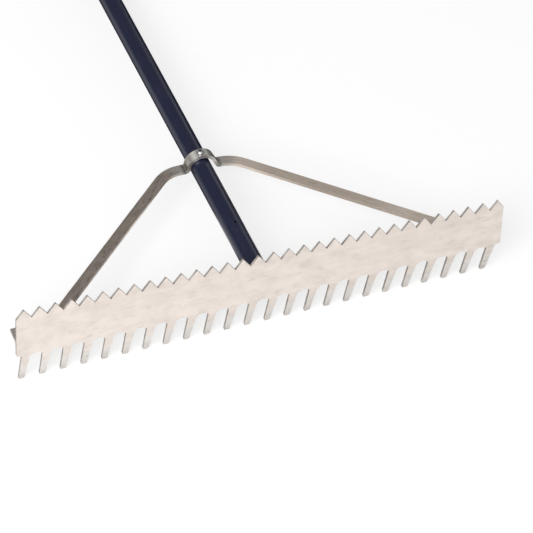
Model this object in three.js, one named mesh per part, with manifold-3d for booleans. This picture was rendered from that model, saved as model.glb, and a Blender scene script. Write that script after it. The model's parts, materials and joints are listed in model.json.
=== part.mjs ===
// Field grooming rake: a two-sided aluminium head, a tube handle and a flat-bar brace.
// Lengths are in millimetres. In the head's own frame x runs along the head, y up the handle
// and z out of the handle's upper side. The handle's axis meets the front of the blade at zero.

import * as THREE from 'three';
import { mergeVertices } from 'three/addons/utils/BufferGeometryUtils.js';
import Module from 'manifold-3d';

const wasm = await Module();
wasm.setup();

const degrees = Math.PI / 180;

// Toothed head: its section
const plateThickness = 4.8;
const flangeDepth = 32.5;
const flangeThickness = 4.8;
const flangeFilletTop = 2.4;
const flangeFilletBottom = 3.6;
const bladeLean = 7.7 * degrees;
const tineRake = 11.7 * degrees;
const bendRadius = 16;
const valleyRise = 48.5;
const rootDrop = 31.6;

// Toothed head: its two edges
const sawToothCount = 32;
const sawDepth = 18;
const sawTipFlat = 1;
const sawShift = 1;
const tineCount = 24;
const tinePitch = 38.1;
const tineLength = 78;
const tineRootWidth = 15.6;
const tineTipWidth = 10.2;
const tineTipRadius = 2.4;
const gapRoundShare = 0.38;
const shoulderRadius = 2.5;
const headEndTrim = 1.6;
const headEndChamfer = 2.4;

// Handle
const tubeRadius = 19.05;
const tubeWall = 2;
const tubeLength = 1829;
const tubeStandoff = 0.6;
const slotRun = 1.6;

// Core and its pin
const coreLength = 165;
const corePinRadius = 2.3;
const corePinWall = 0.5;
const corePinSlit = 0.9;
const corePinRecess = 0.8;
const corePinPlace = 141.5;

// Brace
const barWidth = 19.05;
const barThickness = 6.35;
const saddlePlace = 312.3;
const saddleHug = 0.4;
const saddleSlack = 2.4;
const saddleLift = 0.4;
const saddleSlope = { left: 4 * degrees, right: 30 * degrees };
const footBendRadius = 3;
const footRun = 0.4;
const armBendRadius = 65;
const footInset = 63;

// Grip and cap
const gripLength = 260;
const gripThickness = 3;
const gripTaper = 1.4;
const gripGrooves = 8;
const gripGrooveDepth = 0.9;
const gripGrooveWidth = 6;
const gripBandShare = 0.72;
const capHeadLength = 5;
const capPlugLength = 32;
const capWall = 3;

// Fasteners
const boltPlace = 19.5;
const handleBolt = {
  radius: 4,
  flats: 13,
  headHeight: 5.3,
  nutHeight: 8,
  washerRadius: 8.4,
  washer: 1.6,
};
const footBolt = {
  radius: 3.175,
  flats: 11.1,
  headHeight: 4,
  nutHeight: 7,
  washerRadius: 7.9,
  washer: 1.3,
};
const saddleBolt = {
  radius: 3,
  flats: 10,
  headRadius: 6,
  headHeight: 3.4,
  nutHeight: 6,
  washerRadius: 7,
  washer: 1.2,
};
const saddleSocketFlats = 4;
const saddleSocketDepth = 1.9;
const threadStandout = 2.5;
const nutCollarShare = 0.3;

// Clearances shared by all pieces
const seat = 0.3;
const holeClearance = 0.4;
const overrun = 5;

// Smoothness, in steps
const tubeSteps = 48;
const holeSteps = 24;
const cornerSteps = 3;
const bendSteps = 5;

// Derived sizes
const sawPitch = tinePitch * tineCount / sawToothCount;
const headHalf = sawPitch * sawToothCount / 2 - headEndTrim;
const sawTop = valleyRise + sawDepth;
const tubeStart = plateThickness / Math.cos(bladeLean) + tubeRadius * Math.tan(bladeLean) + tubeStandoff;
const tubeEnd = tubeStart + tubeLength;
const tubeBore = tubeRadius - tubeWall;
const slotDepth = flangeDepth + slotRun;
const slotHeight = flangeThickness + 2 * seat;
const barTop = -flangeThickness / 2 - seat;
const barMiddle = barTop - barThickness / 2;
const saddleRadius = tubeRadius + saddleSlack + barThickness / 2;
const saddleOffset = saddleSlack - saddleHug;
const gapRadius = gapRoundShare * (tinePitch - tineRootWidth);

// Materials
const metal = (name, color, roughness) =>
  new THREE.MeshStandardMaterial({ name, color, roughness, metalness: 1 });
const plain = (name, color, roughness) =>
  new THREE.MeshStandardMaterial({ name, color, roughness, metalness: 0 });
const headAluminium = metal('head aluminium', 0xe6e0d8, 0.45);
const barAluminium = metal('bar aluminium', 0xb4aca2, 0.4);
const blueCoat = plain('blue powder coat', 0x262a44, 0.4);
const zincSteel = metal('zinc plated steel', 0xb9bcc0, 0.35);
const springSteel = metal('spring steel', 0x4a4a4c, 0.5);
const hardwood = plain('hardwood', 0xb08a5c, 0.75);
const blackVinyl = plain('black vinyl', 0x1c1c1e, 0.7);
const blackPlastic = plain('black plastic', 0x222224, 0.55);

// Solids from closed geometries, and back
function solid(geometry) {
  const bare = geometry.clone();
  bare.deleteAttribute('normal');
  bare.deleteAttribute('uv');
  const merged = mergeVertices(bare);
  return new wasm.Manifold(new wasm.Mesh({
    numProp: 3,
    vertProperties: new Float32Array(merged.attributes.position.array),
    triVerts: new Uint32Array(merged.index.array),
  }));
}

function geometryOf(body) {
  const mesh = body.getMesh();
  const geometry = new THREE.BufferGeometry();
  geometry.setAttribute('position', new THREE.BufferAttribute(new Float32Array(mesh.vertProperties), 3));
  geometry.setIndex(new THREE.BufferAttribute(new Uint32Array(mesh.triVerts), 1));
  geometry.computeVertexNormals();
  return geometry;
}

function cut(geometry, ...cutters) {
  return geometryOf(cutters.reduce((body, cutter) => body.subtract(solid(cutter)), solid(geometry)));
}

function fuse(...geometries) {
  return geometryOf(geometries.map(solid).reduce((sum, body) => sum.add(body)));
}

function common(first, second) {
  return geometryOf(solid(first).intersect(solid(second)));
}

// Outline through corners [x, y, radius, steps], with an arc at each corner that has a radius
function roundedOutline(corners) {
  const points = [];
  corners.forEach(([x, y, radius = 0, steps = cornerSteps], i) => {
    const corner = new THREE.Vector2(x, y);
    if (!radius) {
      points.push(corner);
      return;
    }
    const [previous, next] = [corners.at(i - 1), corners.at((i + 1) % corners.length)];
    const before = new THREE.Vector2(previous[0], previous[1]).sub(corner).normalize();
    const after = new THREE.Vector2(next[0], next[1]).sub(corner).normalize();
    const half = Math.acos(before.dot(after)) / 2;
    const centre = before.clone().add(after).setLength(radius / Math.sin(half)).add(corner);
    const start = before.multiplyScalar(radius / Math.tan(half)).add(corner).sub(centre);
    const end = after.multiplyScalar(radius / Math.tan(half)).add(corner).sub(centre);
    const sweep = Math.atan2(start.cross(end), start.dot(end));
    for (let step = 0; step <= steps; step += 1) {
      points.push(start.clone().rotateAround(new THREE.Vector2(), sweep * step / steps).add(centre));
    }
  });
  return new THREE.Shape(points);
}

function extrude(shape, depth) {
  return new THREE.ExtrudeGeometry(shape, { depth, bevelEnabled: false, curveSegments: tubeSteps / 2 });
}

// Cylinder about a line parallel to z, from its foot to its top
function post(radius, x, y, bottom, top, steps = holeSteps) {
  return new THREE.CylinderGeometry(radius, radius, top - bottom, steps)
    .rotateX(Math.PI / 2)
    .translate(x, y, (bottom + top) / 2);
}

// Cylinder about the handle's axis, from one place on it to another
function alongHandle(radius, from, to, steps = tubeSteps) {
  return new THREE.CylinderGeometry(radius, radius, to - from, steps).translate(0, (from + to) / 2, 0);
}

// Places on the blade and on the tines, as seen in the head's section
function onBlade(up, back) {
  return [
    up * Math.sin(bladeLean) + back * Math.cos(bladeLean),
    up * Math.cos(bladeLean) - back * Math.sin(bladeLean),
  ];
}

function onTine(down, back) {
  const [bendY, bendZ] = onBlade(-rootDrop, 0);
  return [
    bendY + down * Math.sin(tineRake) + back * Math.cos(tineRake),
    bendZ - down * Math.cos(tineRake) + back * Math.sin(tineRake),
  ];
}

// Back of the blade at a height over the handle's axis
function bladeBack(z) {
  return plateThickness / Math.cos(bladeLean) + z * Math.tan(bladeLean);
}

// The head as it is extruded, before its edges are cut
function headSection() {
  const innerBend = plateThickness * Math.tan((bladeLean + tineRake) / 2);
  const halfFlange = flangeThickness / 2;
  const outline = roundedOutline([
    onBlade(sawTop + overrun, 0),
    [...onBlade(-rootDrop, 0), bendRadius + plateThickness, bendSteps],
    onTine(tineLength + overrun, 0),
    onTine(tineLength + overrun, plateThickness),
    [...onTine(innerBend, plateThickness), bendRadius, bendSteps],
    [bladeBack(-halfFlange), -halfFlange, flangeFilletBottom],
    [flangeDepth, -halfFlange],
    [flangeDepth, halfFlange],
    [bladeBack(halfFlange), halfFlange, flangeFilletTop],
    onBlade(sawTop + overrun, plateThickness),
  ]);
  const toHead = new THREE.Matrix4().makeBasis(
    new THREE.Vector3(0, 1, 0), new THREE.Vector3(0, 0, 1), new THREE.Vector3(1, 0, 0));
  return extrude(outline, 2 * headHalf).translate(0, 0, -headHalf).applyMatrix4(toHead);
}

// Prism through the plate whose outline lies in the plane of the blade or of the tines
function plateCutter(outline, place, tilt) {
  const toHead = new THREE.Matrix4()
    .makeTranslation(0, ...place)
    .multiply(new THREE.Matrix4().makeRotationX(Math.PI / 2 - tilt));
  return extrude(outline, plateThickness + 2 * overrun).applyMatrix4(toHead);
}

// What is cut away above the saw teeth
function sawCutter() {
  const edge = headHalf + overrun;
  const corners = [[-edge, valleyRise]];
  for (let i = 0; i < sawToothCount; i += 1) {
    const valley = (i - sawToothCount / 2) * sawPitch + sawShift;
    const peak = valley + sawPitch / 2;
    corners.push([valley, valleyRise], [peak - sawTipFlat / 2, sawTop], [peak + sawTipFlat / 2, sawTop]);
  }
  corners.push([sawToothCount / 2 * sawPitch + sawShift, valleyRise], [edge, valleyRise]);
  corners.push([edge, sawTop + 2 * overrun], [-edge, sawTop + 2 * overrun]);
  return plateCutter(roundedOutline(corners), onBlade(0, plateThickness + overrun), bladeLean);
}

// What is cut away between and beyond the tines
function combCutter() {
  const corners = [[-headHalf - overrun, headEndChamfer + overrun], [-headHalf + headEndChamfer, 0]];
  for (let i = 0; i < tineCount; i += 1) {
    const middle = (i - (tineCount - 1) / 2) * tinePitch;
    const left = i === 0 ? shoulderRadius : gapRadius;
    const right = i === tineCount - 1 ? shoulderRadius : gapRadius;
    corners.push(
      [middle - tineRootWidth / 2, 0, left, bendSteps],
      [middle - tineTipWidth / 2, -tineLength, tineTipRadius],
      [middle + tineTipWidth / 2, -tineLength, tineTipRadius],
      [middle + tineRootWidth / 2, 0, right, bendSteps],
    );
  }
  corners.push([headHalf - headEndChamfer, 0], [headHalf + overrun, headEndChamfer + overrun]);
  const below = -tineLength - 2 * overrun;
  corners.push([headHalf + overrun, below], [-headHalf - overrun, below]);
  return plateCutter(roundedOutline(corners), onTine(0, plateThickness + overrun), -tineRake);
}

// Saddle side of the bar: where its slope ends in the foot bend, seen along the handle
function saddleSide(side) {
  const slope = side > 0 ? saddleSlope.right : saddleSlope.left;
  const bend = footBendRadius + barThickness / 2;
  const [c, s] = [Math.cos(slope), Math.sin(slope)];
  const run = (saddleLift + saddleRadius * s - barMiddle - bend * (1 - s)) / c;
  const x = side * saddleOffset + (saddleRadius + bend) * c + run * s;
  return { slope, bend, x, z: barMiddle + bend };
}

// Where the arms' middle lines run: along x to the edgewise bend, then straight to the foot bolts
const armBendStart = Math.max(saddleSide(-1).x, saddleSide(1).x) + footRun;
const armFoot = new THREE.Vector2(headHalf - footInset, boltPlace);
const toFoot = armFoot.clone().sub(new THREE.Vector2(armBendStart, saddlePlace - armBendRadius));
const armSlope = Math.asin(armBendRadius / toFoot.length()) - Math.atan2(toFoot.y, toFoot.x);

function toothedHead() {
  const hole = (x, bolt) =>
    post(bolt.radius + holeClearance, x, boltPlace, -flangeThickness, flangeThickness);
  return cut(headSection(), sawCutter(), combCutter(),
    hole(0, handleBolt), hole(armFoot.x, footBolt), hole(-armFoot.x, footBolt));
}

// Stations of one half of the bar, from the crest out to the foot bolt: middle, width and flat
function halfBar(side) {
  const stations = [];
  const add = (x, y, z, width, flat, share = 1) => stations.push({
    middle: new THREE.Vector3(side * x, y, z),
    width: new THREE.Vector3(side * width[0], width[1], 0).multiplyScalar(share * barWidth / 2),
    flat: new THREE.Vector3(side * flat[0], 0, flat[1]).multiplyScalar(barThickness / 2),
  });
  const { slope, bend, x: footX, z: footZ } = saddleSide(side);
  const crestSteps = 2 * bendSteps;
  for (let i = 0; i <= crestSteps; i += 1) {
    const turn = Math.PI / 2 + (slope - Math.PI / 2) * i / crestSteps;
    const [c, s] = [Math.cos(turn), Math.sin(turn)];
    const z = saddleLift + saddleRadius * s;
    add(side * saddleOffset + saddleRadius * c, saddlePlace, z, [0, 1], [c, s]);
  }
  for (let i = 0; i <= bendSteps; i += 1) {
    const turn = slope + (Math.PI / 2 - slope) * i / bendSteps;
    const [c, s] = [Math.cos(turn), Math.sin(turn)];
    add(footX - bend * c, saddlePlace, footZ - bend * s, [0, 1], [c, s]);
  }
  for (let i = 0; i <= 2 * bendSteps; i += 1) {
    const turn = armSlope * i / bendSteps / 2;
    const [c, s] = [Math.cos(turn), Math.sin(turn)];
    const y = saddlePlace - armBendRadius * (1 - c);
    add(armBendStart + armBendRadius * s, y, barMiddle, [s, c], [0, 1]);
  }
  const [c, s] = [Math.cos(armSlope), Math.sin(armSlope)];
  for (let i = 0; i <= 2 * bendSteps; i += 1) {
    const turn = Math.PI / 2 * i / (2 * bendSteps + 1);
    const run = Math.sin(turn) * barWidth / 2;
    const share = Math.cos(turn);
    add(armFoot.x + run * c, armFoot.y - run * s, barMiddle, [s, c], [0, 1], share);
  }
  return stations;
}

// Bar swept through its stations, from one foot over the crest to the other
function sweptBar() {
  const stations = [...halfBar(-1).slice(1).reverse(), ...halfBar(1)];
  const positions = [];
  for (const { middle, width, flat } of stations) {
    for (const [w, f] of [[1, 1], [-1, 1], [-1, -1], [1, -1]]) {
      positions.push(...middle.clone().addScaledVector(width, w).addScaledVector(flat, f).toArray());
    }
  }
  const index = [];
  for (let i = 0; i + 1 < stations.length; i += 1) {
    for (let side = 0; side < 4; side += 1) {
      const [a, b] = [4 * i + side, 4 * i + (side + 1) % 4];
      index.push(a, b, b + 4, a, b + 4, a + 4);
    }
  }
  const last = 4 * (stations.length - 1);
  index.push(0, 2, 1, 0, 3, 2, last, last + 1, last + 2, last, last + 2, last + 3);
  const geometry = new THREE.BufferGeometry();
  geometry.setAttribute('position', new THREE.Float32BufferAttribute(positions, 3));
  geometry.setIndex(index);
  return geometry;
}

function brace() {
  const footHoleRadius = footBolt.radius + holeClearance;
  const footHole = (x) =>
    post(footHoleRadius, x, armFoot.y, barTop - barThickness - overrun, barTop + overrun);
  const crestHole =
    post(saddleBolt.radius + holeClearance, 0, saddlePlace, 0, saddleRadius + barThickness);
  return cut(sweptBar(), footHole(armFoot.x), footHole(-armFoot.x), crestHole);
}

// Box cutter for the slot that straddles the flange
function flangeSlot() {
  return new THREE.BoxGeometry(2 * tubeRadius + 2 * overrun, slotDepth + overrun, slotHeight)
    .translate(0, (slotDepth - overrun) / 2, 0);
}

// Hole through both sides of the handle
function crossHole(radius, y) {
  return post(radius, 0, y, -tubeRadius - overrun, tubeRadius + overrun);
}

function handleTube() {
  return cut(
    alongHandle(tubeRadius, tubeStart, tubeEnd),
    alongHandle(tubeBore, tubeStart - overrun, tubeEnd + overrun),
    flangeSlot(),
    crossHole(handleBolt.radius + holeClearance, boltPlace),
    crossHole(saddleBolt.radius + holeClearance, saddlePlace),
    crossHole(corePinRadius + seat, corePinPlace),
  );
}

function handleCore() {
  return cut(
    alongHandle(tubeBore - seat, tubeStart, tubeStart + coreLength),
    flangeSlot(),
    crossHole(handleBolt.radius + holeClearance, boltPlace),
    crossHole(corePinRadius + seat, corePinPlace),
  );
}

// Rolled spring pin with its slit, across the handle
function corePin() {
  const halfSlit = Math.asin(corePinSlit / 2 / corePinRadius);
  const ring = new THREE.Shape();
  ring.absarc(0, 0, corePinRadius, halfSlit, 2 * Math.PI - halfSlit, false);
  ring.absarc(0, 0, corePinRadius - corePinWall, 2 * Math.PI - halfSlit, halfSlit, true);
  const length = 2 * (tubeRadius - corePinRecess);
  return new THREE.ExtrudeGeometry(ring, { depth: length, bevelEnabled: false, curveSegments: holeSteps })
    .translate(0, corePinPlace, -length / 2);
}

// Hexagonal block standing on z zero, with its top corners turned off
function hexBlock(flats, height) {
  const corner = flats / Math.sqrt(3);
  const rise = (corner - flats / 2) * Math.tan(30 * degrees);
  const prism = post(corner, 0, 0, 0, height, 6);
  const turned = new THREE.LatheGeometry([
    new THREE.Vector2(0, 0),
    new THREE.Vector2(corner, 0),
    new THREE.Vector2(corner, height - rise),
    new THREE.Vector2(flats / 2, height),
    new THREE.Vector2(0, height),
  ], holeSteps).rotateX(Math.PI / 2);
  return common(prism, turned);
}

// Hex bolt: its head stands on z zero and its shank hangs below
function hexBolt(bolt, grip) {
  const length = grip + bolt.nutHeight + threadStandout;
  return fuse(hexBlock(bolt.flats, bolt.headHeight),
    post(bolt.radius, 0, 0, -length, bolt.headHeight / 2));
}

// Lock nut standing on z zero, with the round collar of its plastic ring on top
function lockNut(bolt) {
  const { flats, nutHeight } = bolt;
  const collarHeight = nutHeight * nutCollarShare;
  const body = fuse(hexBlock(flats, nutHeight - collarHeight),
    post(flats / 2 - seat, 0, 0, collarHeight, nutHeight));
  return cut(body, post(bolt.radius + seat, 0, 0, -overrun, nutHeight + overrun));
}

function flatWasher(bolt) {
  return cut(post(bolt.washerRadius, 0, 0, 0, bolt.washer),
    post(bolt.radius + holeClearance, 0, 0, -overrun, bolt.washer + overrun));
}

// Formed washer: flat on top, hollowed below to sit on a round of the given radius
function formedWasher(bolt, round, roundX = 0) {
  const radius = bolt.washerRadius;
  const sag = round - Math.sqrt(round * round - radius * radius);
  return cut(
    post(radius, 0, 0, -sag, bolt.washer),
    post(bolt.radius + holeClearance, 0, 0, -sag - overrun, bolt.washer + overrun),
    alongHandle(round + seat, -radius - overrun, radius + overrun).translate(roundX, 0, -round),
  );
}

// Button head bolt with a hex socket, its head standing on z zero
function buttonBolt(bolt, grip) {
  const dome = [new THREE.Vector2(0, 0), new THREE.Vector2(bolt.headRadius, 0)];
  const domeRadius = (bolt.headRadius ** 2 + bolt.headHeight ** 2) / (2 * bolt.headHeight);
  const halfTurn = Math.asin(bolt.headRadius / domeRadius);
  for (let i = 1; i < bendSteps; i += 1) {
    const turn = halfTurn * (1 - i / bendSteps);
    dome.push(new THREE.Vector2(domeRadius * Math.sin(turn),
      bolt.headHeight - domeRadius * (1 - Math.cos(turn))));
  }
  dome.push(new THREE.Vector2(0, bolt.headHeight));
  const head = new THREE.LatheGeometry(dome, holeSteps).rotateX(Math.PI / 2);
  const length = grip + bolt.nutHeight + threadStandout;
  const whole = fuse(head, post(bolt.radius, 0, 0, -length, bolt.headHeight / 2));
  const socket = post(saddleSocketFlats / Math.sqrt(3), 0, 0, bolt.headHeight - saddleSocketDepth,
    bolt.headHeight + overrun, 6);
  return cut(whole, socket);
}

// Vinyl sleeve with a thick open end and a ribbed middle, revolved about the handle
function gripSleeve() {
  const inner = tubeRadius + seat;
  const outer = inner + gripThickness;
  const band = gripLength * gripBandShare;
  const first = (gripLength - band) / 2;
  const step = band / gripGrooves;
  const half = gripGrooveWidth / 2;
  const profile = [
    new THREE.Vector2(inner, 0),
    new THREE.Vector2(outer - gripTaper, 0),
    new THREE.Vector2(outer, first / 2),
  ];
  for (let i = 0; i < gripGrooves; i += 1) {
    const middle = first + (i + 1 / 2) * step;
    profile.push(
      new THREE.Vector2(outer, middle - half),
      new THREE.Vector2(outer - gripGrooveDepth, middle - half / 2),
      new THREE.Vector2(outer - gripGrooveDepth, middle + half / 2),
      new THREE.Vector2(outer, middle + half),
    );
  }
  profile.push(
    new THREE.Vector2(outer, gripLength),
    new THREE.Vector2(inner, gripLength),
    new THREE.Vector2(inner, 0),
  );
  return new THREE.LatheGeometry(profile, tubeSteps * 2 / 3).translate(0, tubeEnd - gripLength, 0);
}

// Hollow plug with a rounded head that closes the end of the tube
function endCap() {
  const outer = tubeRadius + seat + gripThickness;
  const plug = tubeBore - seat;
  const profile = [
    [0, capWall], [plug - capWall, capWall], [plug - capWall, -capPlugLength], [plug, -capPlugLength],
    [plug, seat], [outer, seat], [outer, capHeadLength / 2], [outer - capHeadLength / 2, capHeadLength],
    [0, capHeadLength],
  ].map(([radius, y]) => new THREE.Vector2(radius, y));
  return new THREE.LatheGeometry(profile, tubeSteps * 2 / 3).translate(0, tubeEnd, 0);
}

// Scene graph
const head = new THREE.Group();

function place(name, geometry, material, x = 0, y = 0, z = 0, turned = false) {
  const mesh = new THREE.Mesh(geometry, material);
  mesh.name = name;
  mesh.position.set(x, y, z);
  mesh.rotation.x = turned ? Math.PI : 0;
  head.add(mesh);
}

place('toothed_head', toothedHead(), headAluminium);
place('brace', brace(), barAluminium);
place('handle_tube', handleTube(), blueCoat);
place('handle_core', handleCore(), hardwood);
place('core_pin', corePin(), springSteel);
place('grip_sleeve', gripSleeve(), blackVinyl);
place('end_cap', endCap(), blackPlastic);

// Handle bolt, its formed washers and its lock nut
const onTube = tubeRadius + seat;
const handleSeat = onTube + handleBolt.washer + seat;
const handleWasher = formedWasher(handleBolt, tubeRadius);
place('handle_bolt', hexBolt(handleBolt, 2 * handleSeat), zincSteel, 0, boltPlace, handleSeat);
place('handle_washer_top', handleWasher, zincSteel, 0, boltPlace, onTube);
place('handle_washer_bottom', handleWasher, zincSteel, 0, boltPlace, -onTube, true);
place('handle_nut', lockNut(handleBolt), zincSteel, 0, boltPlace, -handleSeat, true);

// Saddle bolt over the crest of the brace, its formed washers and its lock nut under the tube
const crestRadius = saddleRadius + barThickness / 2;
const onCrest = saddleLift + crestRadius + seat;
const headSeat = onCrest + saddleBolt.washer + seat;
const nutSeat = onTube + saddleBolt.washer + seat;
const crestWasher = formedWasher(saddleBolt, crestRadius, saddleOffset);
const tubeWasher = formedWasher(saddleBolt, tubeRadius);
const saddleScrew = buttonBolt(saddleBolt, headSeat + nutSeat);
place('saddle_bolt', saddleScrew, zincSteel, 0, saddlePlace, headSeat);
place('saddle_washer_top', crestWasher, zincSteel, 0, saddlePlace, onCrest);
place('saddle_washer_bottom', tubeWasher, zincSteel, 0, saddlePlace, -onTube, true);
place('saddle_nut', lockNut(saddleBolt), zincSteel, 0, saddlePlace, -nutSeat, true);

// Foot bolts through the flange and the ends of the brace
const onFlange = flangeThickness / 2 + seat;
const footHeadSeat = onFlange + footBolt.washer + seat;
const underBar = barTop - barThickness - seat;
const footNutSeat = underBar - footBolt.washer - seat;
const footScrew = hexBolt(footBolt, footHeadSeat - footNutSeat);
for (const [side, x] of [['left', -armFoot.x], ['right', armFoot.x]]) {
  place(`foot_bolt_${side}`, footScrew, zincSteel, x, armFoot.y, footHeadSeat);
  place(`foot_washer_top_${side}`, flatWasher(footBolt), zincSteel, x, armFoot.y, onFlange);
  place(`foot_washer_bottom_${side}`, flatWasher(footBolt), zincSteel, x, armFoot.y, underBar, true);
  place(`foot_nut_${side}`, lockNut(footBolt), zincSteel, x, armFoot.y, footNutSeat, true);
}

// The rake lies on the floor: on its tine tips and on the cap at the far end of the handle
const tip = new THREE.Vector2(...onTine(tineLength, 0));
const capRim = new THREE.Vector2(tubeEnd + capHeadLength / 2, -tubeRadius - seat - gripThickness);
head.rotation.x = -capRim.sub(tip).angle();

const rake = new THREE.Group();
rake.add(head);
const box = new THREE.Box3().setFromObject(rake, true);
head.position.set(-(box.min.x + box.max.x) / 2, -(box.min.y + box.max.y) / 2, -box.min.z);

export default rake;
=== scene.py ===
# Field grooming rake: finishes, fine detail, floor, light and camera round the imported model.
# Lengths are in metres. Pieces are modelled in the head's own frame, where x runs along the
# head, y up the handle and z out of the handle's upper side, and are then laid down with it.

import json
import math

import bmesh
import bpy
from mathutils import Matrix, Vector


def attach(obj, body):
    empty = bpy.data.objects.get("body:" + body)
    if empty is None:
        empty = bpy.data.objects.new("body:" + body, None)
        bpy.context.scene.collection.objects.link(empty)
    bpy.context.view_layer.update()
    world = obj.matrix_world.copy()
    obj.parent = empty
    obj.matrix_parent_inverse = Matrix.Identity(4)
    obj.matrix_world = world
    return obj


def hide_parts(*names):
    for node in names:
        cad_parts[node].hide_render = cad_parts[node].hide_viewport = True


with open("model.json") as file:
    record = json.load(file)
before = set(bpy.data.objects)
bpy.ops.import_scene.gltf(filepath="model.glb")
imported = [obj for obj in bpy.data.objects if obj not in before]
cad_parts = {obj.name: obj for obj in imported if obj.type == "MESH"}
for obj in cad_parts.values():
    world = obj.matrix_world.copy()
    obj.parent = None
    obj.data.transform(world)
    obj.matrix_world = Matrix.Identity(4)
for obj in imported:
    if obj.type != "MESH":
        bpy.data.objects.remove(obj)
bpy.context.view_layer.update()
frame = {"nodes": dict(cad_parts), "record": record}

MM = 0.001
X, Y, Z = range(3)
UP = Vector((0, 0, 1))
UP_HANDLE = Vector((0, 1, 0))

# Points closer than these are one: in a node's mesh, in a turned body and in a thread
NODE_WELD = 0.002 * MM
TURNED_WELD = 0.001 * MM
THREAD_WELD = 0.005 * MM
# Faces of a node that meet at less than this are one flat face
FLAT_ANGLE = math.radians(0.6)
# How near a cut's plane its edges are
CUT_TOLERANCE = 0.001 * MM
RIM_TOLERANCE = 0.01 * MM

# Edge rounds by kind of piece: width, the angle in degrees from which an edge is sharp, and segments
EDGES = {
    "head": (0.6 * MM, 40, 2),
    "brace": (0.6 * MM, 35, 3),
    "tube": (0.3 * MM, 30, 2),
    "core": (0.25 * MM, 30, 2),
    "pin": (0.12 * MM, 50, 2),
    "grip": (0.15 * MM, 45, 2),
    "cap": (0.1 * MM, 60, 1),
    "bolt": (0.25 * MM, 35, 2),
    "nut": (0.2 * MM, 35, 2),
    "washer": (0.18 * MM, 35, 2),
}

# Where the handle lies, from the front of the blade to the face of its cap
HANDLE_REACH = 1842.02 * MM
TUBE_RADIUS = 19.05 * MM
TUBE_BORE = TUBE_RADIUS - 2 * MM
SEAT = 0.3 * MM

# Head. A face is sawn if it looks along the head, or along z outside the flange. The tines carry a painted
# reflection, a greyer white, from the first height down to the second
FLANGE_THICKNESS = 4.8 * MM
FLANGE_ZONE = 10 * MM
LOOKS_ALONG_X = 0.03
LOOKS_ALONG_Z = 0.9
PAINTED_REFLECTION_HEIGHTS = (52 * MM, 37 * MM)

# Brace. The saddle's sides slope differently, by side: left is -1 and right is 1
BAR_WIDTH = 19.05 * MM
BAR_THICKNESS = 6.35 * MM
BAR_LEVEL = -FLANGE_THICKNESS / 2 - SEAT - BAR_THICKNESS / 2
BAR_CORNERS = ((1, 1), (1, -1), (-1, -1), (-1, 1))
BAR_MAP = "run of the bar"
SADDLE_PLACE = 312.3 * MM
SADDLE_RADIUS = TUBE_RADIUS + 2.4 * MM + BAR_THICKNESS / 2
SADDLE_OFFSET = 2.0 * MM
SADDLE_LIFT = 0.4 * MM
SADDLE_SLOPES = {-1: math.radians(4), 1: math.radians(30)}
SADDLE_STEPS = 12
FOOT_BEND_RADIUS = 3 * MM + BAR_THICKNESS / 2
FOOT_BEND_STEPS = 8
FOOT_RUN = 0.4 * MM
ARM_BEND_RADIUS = 65 * MM
ARM_BEND_STEPS = 12
ARM_STEPS = 6
FOOT_PLACE = Vector((392.6, 19.5)) * MM
BAR_END_ROUND = 0.49 * BAR_WIDTH
BAR_END_SEGMENTS = 10
HOLE_CLEARANCE = 0.4 * MM
CUTTER_LENGTH = 120 * MM
CUTTER_SIDES = 32

# Looks of the bar, by place along its run from the crest, which counts up to the right. Each pair is
# where a look begins and where it is full
PRESSED = (85 * MM, 51 * MM)
# Painted shade on the saddle's lower sides and in its foot bends
PAINTED_SHADE_LEFT = (-12 * MM, -38 * MM)
PAINTED_SHADE_RIGHT = (30 * MM, 38 * MM)
PAINTED_SHADE_END = (56 * MM, 50 * MM)
# Painted shade that dims the right arm
PAINTED_SHADE_ARM_START = (110 * MM, 150 * MM)
PAINTED_SHADE_ARM_END = (400 * MM, 330 * MM)

# Grip and cap. The grip is thinned at its open end, and the cap's hollow reaches past the tube's end
TURN_STEPS = 72
TURN_SEGMENTS = 4
GRIP_LENGTH = 260 * MM
GRIP_THICKNESS = 3 * MM
GRIP_THINNED = 1.4 * MM
GRIP_GROOVES = 8
GRIP_GROOVE_DEPTH = 0.9 * MM
GRIP_GROOVE_WIDTH = 6 * MM
GRIP_BAND_SHARE = 0.72
GRIP_ROUND = 0.7 * MM
CAP_HEAD_LENGTH = 5 * MM
CAP_SHOULDER_SHARE = 0.45
CAP_DOME_SHARE = 0.5
CAP_DISH_SHARES = (0.55, 0.52)
CAP_DISH_DEPTH = 0.5 * MM
CAP_PLUG_LENGTH = 32 * MM
CAP_WALL = 3 * MM
CAP_HOLLOW_REACH = 1.5 * MM
CAP_ROUND = 0.8 * MM

# Threads, by the bolt that has them: radius and pitch. A thread is made some turns too long at its lower
# end, then cut off there
THREADS = {
    "handle_bolt": (4 * MM, 1.25 * MM),
    "saddle_bolt": (3 * MM, 1 * MM),
    "foot_bolt_left": (3.175 * MM, 1.27 * MM),
    "foot_bolt_right": (3.175 * MM, 1.27 * MM),
}
THREAD_DEPTH_SHARE = 0.6
THREAD_TURNS = 14
THREAD_LEAD = 1.5
THREAD_STEPS = 20
THREAD_TIP_SHARE = 0.14
THREAD_GAP = 0.05 * MM
# The bolt whose hex socket, out to this radius, is painted in shade with the dark steel
SOCKET_BOLT = "saddle_bolt"
SOCKET_RADIUS = 2.35 * MM
NUTS = {
    "handle_nut": "handle_bolt",
    "saddle_nut": "saddle_bolt",
    "foot_nut_left": "foot_bolt_left",
    "foot_nut_right": "foot_bolt_right",
}
# A nut's nylon ring: its gap round the bolt, its outer radius as a share of the nut's width, and its
# underside and top from the nut's lower end
RING_GAP = 0.32 * MM
RING_SHARE = 0.4
RING_HEIGHTS = (-0.25 * MM, 0.2 * MM)
RING_ROUND = 0.12 * MM
RING_SEGMENTS = 3
RING_STEPS = 40
WASHERS = [
    "handle_washer_top",
    "handle_washer_bottom",
    "saddle_washer_top",
    "saddle_washer_bottom",
    "foot_washer_top_left",
    "foot_washer_top_right",
    "foot_washer_bottom_left",
    "foot_washer_bottom_right",
]

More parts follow.
